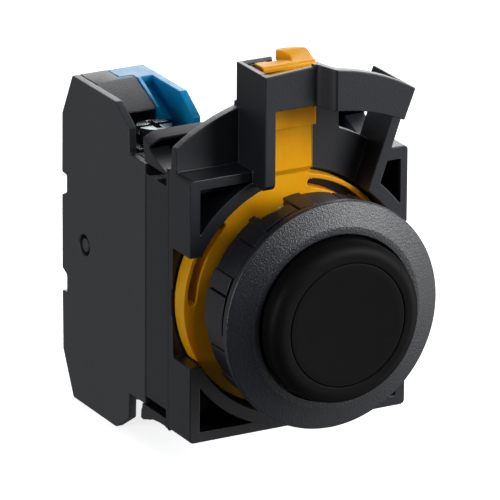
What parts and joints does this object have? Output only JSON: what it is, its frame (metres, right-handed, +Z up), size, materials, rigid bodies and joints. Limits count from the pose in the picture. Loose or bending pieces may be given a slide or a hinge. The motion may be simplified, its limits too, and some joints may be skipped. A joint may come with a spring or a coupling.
{
  "type": "industrial push button",
  "caption": "Round panel-mount push button head with a clamping nut, a lock-on adapter with a turning lever, and a screw-terminal contact block.",
  "frame": {"origin": "on the button's axis, in the plane where the gasket seats on the panel's front face", "axes": "+Y runs back through the panel along the button's axis, +Z is up towards the lever, +X is to the right for the person who presses the button"},
  "size_m": [0.0308, 0.0475, 0.0529],
  "materials": {
    "grained_plastic": "fine grain",
    "dark_plastic": "satin",
    "cap_plastic": "satin",
    "rubber": "matte",
    "cream_plastic": "satin",
    "spring_steel": "bright",
    "amber_plastic": "semi-gloss",
    "blue_plastic": "semi-gloss",
    "brass": "satin",
    "silver": "satin",
    "plated_steel": "zinc plated"
  },
  "bodies": {
    "housing": {"bezel_ring": "grained_plastic", "operator_body": "dark_plastic", "panel_gasket": "rubber", "locking_nut": "dark_plastic", "mounting_frame": "dark_plastic", "block_carrier": "dark_plastic", "block_shell_left": "dark_plastic", "block_shell_right": "blue_plastic", "block_core": "dark_plastic", "fixed_contact_upper": "brass", "fixed_contact_lower": "brass", "fixed_contact_tips": "silver", "terminal_screws": "plated_steel", "terminal_clamps": "plated_steel", "return_spring": "spring_steel", "plunger_spring": "spring_steel"},
    "button": {"button_cap": "cap_plastic", "cap_insert": "cap_plastic", "push_stem": "cap_plastic", "pusher_disc": "cream_plastic", "stem_seal": "rubber"},
    "lock": {"lock_ring": "amber_plastic"},
    "plunger": {"contact_plunger": "cream_plastic", "contact_spring": "spring_steel"},
    "bridge": {"contact_bridge": "brass", "bridge_tips": "silver"}
  },
  "joints": [
    {"name": "button_press", "type": "slide", "parent": "housing", "child": "button", "axis": [0, 1, 0], "range_m": [0, 0.0032], "stiffness_N_per_m": 500, "springref_m": -0.004, "deforming": ["return_spring"]},
    {"name": "plunger_slide", "type": "slide", "parent": "housing", "child": "plunger", "axis": [0, 1, 0], "range_m": [0, 0.0032], "deforming": ["plunger_spring"]},
    {"name": "bridge_slide", "type": "slide", "parent": "housing", "child": "bridge", "axis": [0, 1, 0], "range_m": [0, 0.00192], "deforming": ["contact_spring"]},
    {"name": "lock_turn", "type": "hinge", "parent": "housing", "child": "lock", "pos_m": [0, 0, 0], "axis": [0, 1, 0], "range_deg": [0, 17]}
  ],
  "couplings": [
    {"joint": "plunger_slide", "follows": "button_press", "ratio": 1},
    {"joint": "bridge_slide", "follows": "button_press", "ratio": 0.6}
  ]
}
